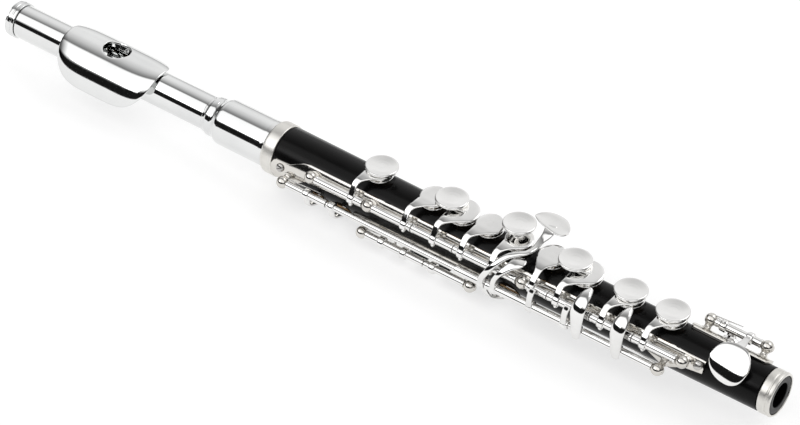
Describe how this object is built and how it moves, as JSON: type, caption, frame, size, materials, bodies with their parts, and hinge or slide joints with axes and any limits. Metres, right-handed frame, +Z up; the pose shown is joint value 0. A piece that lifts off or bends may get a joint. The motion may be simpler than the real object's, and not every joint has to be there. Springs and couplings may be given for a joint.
{
  "type": "piccolo",
  "caption": "Piccolo with a tapered black body, a silver-plated head joint with lip plate, and full keywork on hinge rods.",
  "frame": {"origin": "on the ground under the middle of the whole instrument, as it lies", "axes": "+X runs along the bore from the crown to the foot, +Y points away from the player, +Z points up through the embouchure hole"},
  "size_m": [0.32, 0.0284, 0.0303],
  "materials": {
    "silver_plate": "silver plate, polished",
    "nickel_silver": "nickel silver, polished",
    "body_black": "black resin, satin gloss",
    "cork": "natural cork",
    "pad_skin": "skin over felt",
    "hinge_steel": "polished steel"
  },
  "bodies": {
    "body": {"body_tube": "body_black", "tenon_cork": "cork", "upper_ring": "nickel_silver", "foot_ring": "nickel_silver", "main_rib": "nickel_silver", "thumb_rib": "nickel_silver", "foot_rib": "nickel_silver", "main_rib_screw_top": "hinge_steel", "main_rib_screw_foot": "hinge_steel", "thumb_rib_screw": "hinge_steel", "foot_rib_screw": "hinge_steel", "steel_c": "hinge_steel", "steel_left": "hinge_steel", "steel_right": "hinge_steel", "steel_thumb": "hinge_steel", "steel_eb": "hinge_steel"},
    "head": {"head_tube": "silver_plate", "head_sleeve": "silver_plate", "lip_plate": "silver_plate", "embouchure_riser": "silver_plate"},
    "crown": {"crown": "silver_plate"},
    "stopper": {"stopper_face_plate": "silver_plate", "stopper_cork": "cork", "stopper_back_plate": "silver_plate", "stopper_screw": "silver_plate"},
    "c_key": {"c_key": "silver_plate", "pad_c": "pad_skin"},
    "bb_key": {"bb_key": "silver_plate", "pad_bb": "pad_skin"},
    "a_key": {"a_key": "silver_plate", "pad_a": "pad_skin"},
    "g_key": {"g_key": "silver_plate", "pad_g_upper": "pad_skin", "pad_g_lower": "pad_skin"},
    "fsharp_key": {"fsharp_key": "silver_plate", "pad_fsharp": "pad_skin"},
    "f_key": {"f_key": "silver_plate", "pad_f": "pad_skin"},
    "e_key": {"e_key": "silver_plate", "pad_e": "pad_skin"},
    "d_key": {"d_key": "silver_plate", "pad_d": "pad_skin"},
    "dsharp_trill_key": {"dsharp_trill_key": "silver_plate", "pad_dsharp_trill": "pad_skin"},
    "d_trill_key": {"d_trill_key": "silver_plate", "pad_d_trill": "pad_skin"},
    "gsharp_key": {"gsharp_key": "silver_plate", "pad_gsharp": "pad_skin"},
    "bb_lever": {"bb_lever": "silver_plate"},
    "eb_key": {"eb_key": "silver_plate", "pad_eb": "pad_skin"},
    "thumb_b_key": {"thumb_b_key": "silver_plate", "pad_thumb": "pad_skin"},
    "thumb_bb_key": {"thumb_bb_key": "silver_plate"}
  },
  "joints": [
    {"name": "head_tuning_slide", "type": "slide", "parent": "body", "child": "head", "axis": [-1, 0, 0], "range_m": [0, 0.006]},
    {"name": "crown_turn", "type": "hinge", "parent": "head", "child": "crown", "pos_m": [-0.158, 0.00123, 0.01349], "axis": [1, 0, 0], "range_deg": [-360, 360]},
    {"name": "stopper_slide", "type": "slide", "parent": "head", "child": "stopper", "axis": [1, 0, 0], "range_m": [-0.00075, 0.00075]},
    {"name": "c_key_hinge", "type": "hinge", "parent": "body", "child": "c_key", "pos_m": [0.01, -0.00987, 0.01799], "axis": [1, 0, 0], "range_deg": [-8, 0], "stiffness_Nm_per_rad": 0.02, "springref_deg": 14.32},
    {"name": "bb_key_hinge", "type": "hinge", "parent": "body", "child": "bb_key", "pos_m": [0.022, -0.00987, 0.01799], "axis": [1, 0, 0], "range_deg": [-8, 0], "stiffness_Nm_per_rad": 0.02, "springref_deg": 14.32},
    {"name": "a_key_hinge", "type": "hinge", "parent": "body", "child": "a_key", "pos_m": [0.034, -0.00987, 0.01799], "axis": [1, 0, 0], "range_deg": [-8, 0], "stiffness_Nm_per_rad": 0.02, "springref_deg": 14.32},
    {"name": "g_key_hinge", "type": "hinge", "parent": "body", "child": "g_key", "pos_m": [0.052, -0.00987, 0.01799], "axis": [1, 0, 0], "range_deg": [-8, 0], "stiffness_Nm_per_rad": 0.02, "springref_deg": 14.32},
    {"name": "fsharp_key_hinge", "type": "hinge", "parent": "body", "child": "fsharp_key", "pos_m": [0.073, -0.00987, 0.01799], "axis": [1, 0, 0], "range_deg": [-8, 0], "stiffness_Nm_per_rad": 0.02, "springref_deg": 14.32},
    {"name": "f_key_hinge", "type": "hinge", "parent": "body", "child": "f_key", "pos_m": [0.083, -0.00987, 0.01799], "axis": [1, 0, 0], "range_deg": [-8, 0], "stiffness_Nm_per_rad": 0.02, "springref_deg": 14.32},
    {"name": "e_key_hinge", "type": "hinge", "parent": "body", "child": "e_key", "pos_m": [0.1, -0.00987, 0.01799], "axis": [1, 0, 0], "range_deg": [-8, 0], "stiffness_Nm_per_rad": 0.02, "springref_deg": 14.32},
    {"name": "d_key_hinge", "type": "hinge", "parent": "body", "child": "d_key", "pos_m": [0.116, -0.00987, 0.01799], "axis": [1, 0, 0], "range_deg": [-8, 0], "stiffness_Nm_per_rad": 0.02, "springref_deg": 14.32},
    {"name": "dsharp_trill_key_hinge", "type": "hinge", "parent": "body", "child": "dsharp_trill_key", "pos_m": [0.046, -0.01167, 0.01189], "axis": [1, 0, 0], "range_deg": [-10, 0], "stiffness_Nm_per_rad": 0.02, "springref_deg": 14.32},
    {"name": "d_trill_key_hinge", "type": "hinge", "parent": "body", "child": "d_trill_key", "pos_m": [0.041, -0.01167, 0.01189], "axis": [1, 0, 0], "range_deg": [-10, 0], "stiffness_Nm_per_rad": 0.02, "springref_deg": 14.32},
    {"name": "gsharp_key_hinge", "type": "hinge", "parent": "body", "child": "gsharp_key", "pos_m": [0.049, -0.01167, 0.01189], "axis": [1, 0, 0], "range_deg": [-5.5, 0], "stiffness_Nm_per_rad": 0.02, "springref_deg": 14.32},
    {"name": "bb_lever_hinge", "type": "hinge", "parent": "body", "child": "bb_lever", "pos_m": [0.071, -0.01167, 0.01189], "axis": [1, 0, 0], "range_deg": [-4, 0], "stiffness_Nm_per_rad": 0.02, "springref_deg": 14.32},
    {"name": "eb_key_hinge", "type": "hinge", "parent": "body", "child": "eb_key", "pos_m": [0.138, 0.00973, 0.02209], "axis": [1, 0, 0], "range_deg": [0, 10], "stiffness_Nm_per_rad": 0.02, "springref_deg": -14.32},
    {"name": "thumb_b_key_hinge", "type": "hinge", "parent": "body", "child": "thumb_b_key", "pos_m": [0.017, -0.01017, 0.00609], "axis": [1, 0, 0], "range_deg": [0, 8], "stiffness_Nm_per_rad": 0.02, "springref_deg": -14.32},
    {"name": "thumb_bb_key_hinge", "type": "hinge", "parent": "body", "child": "thumb_bb_key", "pos_m": [0.038, -0.01017, 0.00609], "axis": [1, 0, 0], "range_deg": [0, 6], "stiffness_Nm_per_rad": 0.02, "springref_deg": -14.32}
  ],
  "couplings": [
    {"joint": "crown_turn", "follows": "stopper_slide", "rad_per_m": 8377.6},
    {"joint": "bb_key_hinge", "follows": "a_key_hinge", "ratio": 1},
    {"joint": "fsharp_key_hinge", "follows": "f_key_hinge", "ratio": 1}
  ]
}
